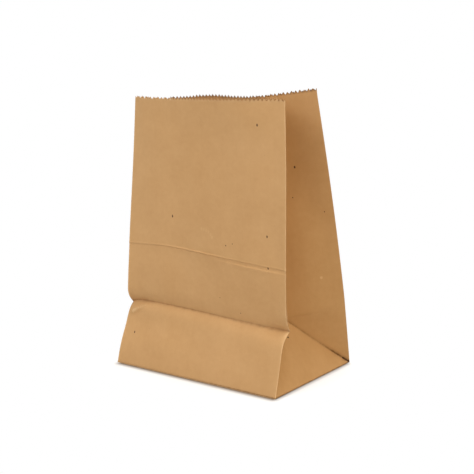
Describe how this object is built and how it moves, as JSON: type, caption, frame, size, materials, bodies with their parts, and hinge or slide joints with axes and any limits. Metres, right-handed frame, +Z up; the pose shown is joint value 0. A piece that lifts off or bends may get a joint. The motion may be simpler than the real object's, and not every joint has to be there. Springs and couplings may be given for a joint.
{
  "type": "paper lunch bag",
  "caption": "Squat brown kraft paper lunch bag standing open, with a pinked rim, folded side gussets, a creased foot and a flat satchel bottom.",
  "frame": {"origin": "centre of the base, on the surface that the bag stands on", "axes": "+Z up towards the open rim, -Y out of the front panel with the creased foot, X across the front panel"},
  "size_m": [0.152, 0.105, 0.2156],
  "materials": {
    "kraft_paper": "unbleached brown kraft paper, matt outside with a faint machine-glazed sheen, fine fibres and scattered dark specks"
  },
  "bodies": {
    "root": {"paper_bag": "kraft_paper"}
  },
  "joints": []
}
